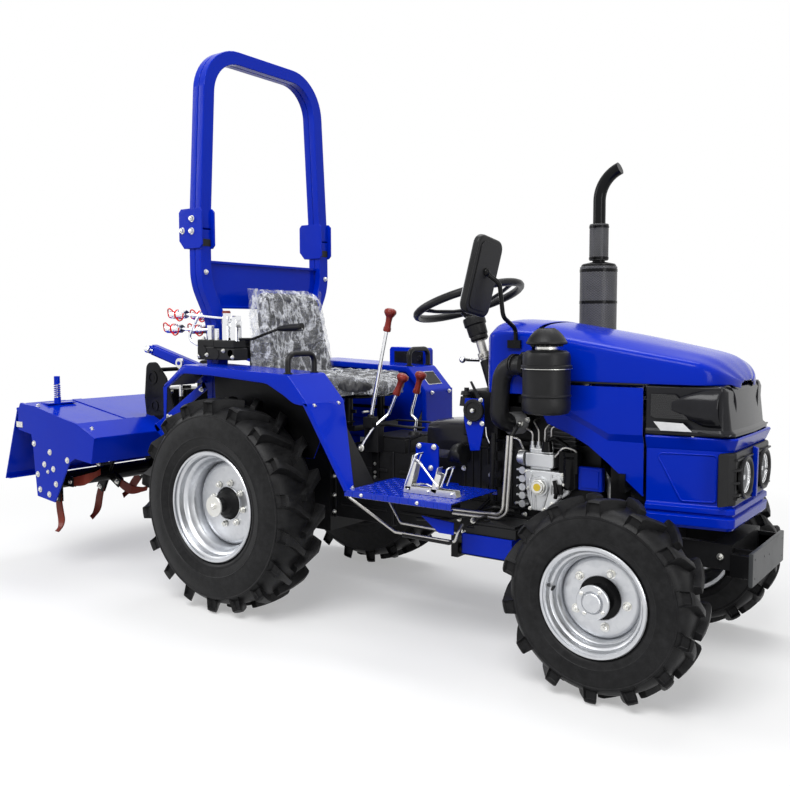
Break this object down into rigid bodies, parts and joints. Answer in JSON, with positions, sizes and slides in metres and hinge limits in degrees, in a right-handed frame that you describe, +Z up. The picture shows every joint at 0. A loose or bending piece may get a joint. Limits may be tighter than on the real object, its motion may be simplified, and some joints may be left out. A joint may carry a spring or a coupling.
{
  "type": "compact tractor with mounted rotary tiller",
  "caption": "Compact open-station tractor with folding roll bar, steered front wheels, opening hood and a rotary tiller carried on its rear three-point hitch.",
  "frame": {"origin": "on the ground under the middle of the whole machine", "axes": "+X forward along the direction of travel, +Y to the tractor's left, +Z up"},
  "size_m": [3.3818, 1.22, 2.316],
  "materials": {
    "blue_paint": "glossy royal blue paint",
    "black_casting": "semi-gloss black painted castings",
    "black_plastic": "matte black moulded plastic",
    "gloss_black": "gloss black plastic",
    "tyre_rubber": "tyre rubber",
    "galvanised_rim": "silver rim",
    "bright_steel": "zinc plated and bare steel",
    "chrome_steel": "polished plated steel",
    "alloy_casting": "bare alloy casting",
    "tine_paint": "brown red paint",
    "seat_vinyl": "black quilted seat cover"
  },
  "bodies": {
    "chassis": {"air_cleaner": "black_plastic", "battery_box": "black_plastic", "control_levers": "bright_steel", "control_valve": "black_casting", "cowl_support": "black_casting", "dash_cowl": "blue_paint", "engine": "black_casting", "exhaust": "black_casting", "fenders": "blue_paint", "footboards": "blue_paint", "front_axle": "black_casting", "front_bumper": "black_casting", "front_frame": "black_casting", "gearbox_housing": "black_casting", "grab_handles": "black_plastic", "hydraulic_couplers": "chrome_steel", "lift_housing": "black_casting", "mirror": "black_plastic", "pedals": "bright_steel", "radiator": "black_casting", "rear_axle_housing": "black_casting", "rops_base": "blue_paint", "seat_back": "seat_vinyl", "seat_base": "black_plastic", "seat_cushion": "seat_vinyl", "side_panels": "blue_paint", "steering_column": "black_casting"},
    "hood": {"hood_top": "blue_paint", "nose_cowl": "blue_paint", "headlamp_band": "black_plastic", "grille": "black_plastic"},
    "steering_wheel": {"steering_wheel": "black_plastic"},
    "knuckle_right": {"steering_knuckle_right": "black_casting"},
    "knuckle_left": {"steering_knuckle_left": "black_casting"},
    "tie_rod": {"tie_rod": "black_casting"},
    "front_wheel_right": {"front_tyre_right": "tyre_rubber", "front_rim_right": "galvanised_rim", "front_hub_right": "bright_steel"},
    "front_wheel_left": {"front_tyre_left": "tyre_rubber", "front_rim_left": "galvanised_rim", "front_hub_left": "bright_steel"},
    "rear_wheel_right": {"rear_tyre_right": "tyre_rubber", "rear_rim_right": "galvanised_rim", "rear_hub_right": "black_casting"},
    "rear_wheel_left": {"rear_tyre_left": "tyre_rubber", "rear_rim_left": "galvanised_rim", "rear_hub_left": "black_casting"},
    "rops_hoop": {"rops_hoop": "blue_paint"},
    "lower_links": {"lower_links": "blue_paint"},
    "lift_arms": {"lift_arms": "blue_paint"},
    "lift_rods": {"lift_rods": "bright_steel"},
    "top_link": {"top_link": "black_casting"},
    "drive_shaft": {"drive_shaft": "black_casting"},
    "tiller": {"tiller_deck": "blue_paint", "tiller_sides": "blue_paint", "tiller_frame": "black_casting", "depth_rod": "blue_paint"},
    "tiller_rotor": {"tiller_rotor": "tine_paint"},
    "tail_board": {"tail_board": "blue_paint"}
  },
  "joints": [
    {"name": "hood_hinge", "type": "hinge", "parent": "chassis", "child": "hood", "pos_m": [1.02591, 0, 1.124], "axis": [0, -1, 0], "range_deg": [0, 50]},
    {"name": "steer_right", "type": "hinge", "parent": "chassis", "child": "knuckle_right", "pos_m": [1.31092, -0.35, 0.315], "axis": [0, 0, 1], "range_deg": [-30, 30]},
    {"name": "steer_left", "type": "hinge", "parent": "chassis", "child": "knuckle_left", "pos_m": [1.31092, 0.35, 0.315], "axis": [0, 0, 1], "range_deg": [-31, 31]},
    {"name": "tie_rod_pivot", "type": "hinge", "parent": "knuckle_left", "child": "tie_rod", "pos_m": [1.22091, 0.35, 0.242], "axis": [0, 0, 1], "range_deg": [-32, 32]},
    {"name": "steering_wheel_turn", "type": "hinge", "parent": "chassis", "child": "steering_wheel", "pos_m": [0.57291, 0, 1.235], "axis": [-0.3247, 0, 0.9458], "range_deg": [-362, 362]},
    {"name": "front_wheel_right_spin", "type": "hinge", "parent": "knuckle_right", "child": "front_wheel_right", "pos_m": [1.31092, -0.433, 0.315], "axis": [0, 1, 0], "continuous": true},
    {"name": "front_wheel_left_spin", "type": "hinge", "parent": "knuckle_left", "child": "front_wheel_left", "pos_m": [1.31092, 0.433, 0.315], "axis": [0, 1, 0], "continuous": true},
    {"name": "rear_wheel_right_spin", "type": "hinge", "parent": "chassis", "child": "rear_wheel_right", "pos_m": [-0.26408, -0.473, 0.43], "axis": [0, 1, 0], "continuous": true},
    {"name": "rear_wheel_left_spin", "type": "hinge", "parent": "chassis", "child": "rear_wheel_left", "pos_m": [-0.26408, 0.473, 0.43], "axis": [0, 1, 0], "continuous": true},
    {"name": "roll_bar_fold", "type": "hinge", "parent": "chassis", "child": "rops_hoop", "pos_m": [-0.57609, 0, 1.503], "axis": [0, -1, 0], "range_deg": [0, 95]},
    {"name": "hitch_lift", "type": "hinge", "parent": "chassis", "child": "lower_links", "pos_m": [-0.42408, 0, 0.4], "axis": [0, -1, 0], "range_deg": [0, 19]},
    {"name": "tiller_pivot", "type": "hinge", "parent": "lower_links", "child": "tiller", "pos_m": [-0.92609, 0, 0.505], "axis": [0, -1, 0], "range_deg": [-20, 1]},
    {"name": "top_link_pivot", "type": "hinge", "parent": "chassis", "child": "top_link", "pos_m": [-0.60908, 0, 0.83], "axis": [0, -1, 0], "range_deg": [-1, 22.41]},
    {"name": "lift_arm_pivot", "type": "hinge", "parent": "chassis", "child": "lift_arms", "pos_m": [-0.52609, 0, 0.905], "axis": [0, -1, 0], "range_deg": [-1, 27.11]},
    {"name": "lift_rod_pivot", "type": "hinge", "parent": "lift_arms", "child": "lift_rods", "pos_m": [-0.78899, 0, 0.97595], "axis": [0, -1, 0], "range_deg": [-27.11, 1]},
    {"name": "drive_shaft_joint", "type": "hinge", "parent": "chassis", "child": "drive_shaft", "pos_m": [-0.50909, 0, 0.47], "axis": [0, -1, 0], "range_deg": [-1, 23.89]},
    {"name": "tiller_rotor_spin", "type": "hinge", "parent": "tiller", "child": "tiller_rotor", "pos_m": [-1.33909, 0, 0.424], "axis": [0, 1, 0], "continuous": true},
    {"name": "tail_board_hinge", "type": "hinge", "parent": "tiller", "child": "tail_board", "pos_m": [-1.56709, 0, 0.752], "axis": [0, 1, 0], "range_deg": [0, 35]}
  ],
  "couplings": [
    {"joint": "steer_left", "follows": "steer_right", "ratio": 1},
    {"joint": "tie_rod_pivot", "follows": "steer_right", "ratio": -1},
    {"joint": "steering_wheel_turn", "follows": "steer_right", "ratio": 12},
    {"joint": "tiller_pivot", "follows": "hitch_lift", "ratio": -0.9894},
    {"joint": "top_link_pivot", "follows": "hitch_lift", "ratio": 1.1266},
    {"joint": "lift_arm_pivot", "follows": "hitch_lift", "ratio": 1.3744},
    {"joint": "lift_rod_pivot", "follows": "hitch_lift", "ratio": -1.369},
    {"joint": "drive_shaft_joint", "follows": "hitch_lift", "ratio": 1.2047}
  ]
}
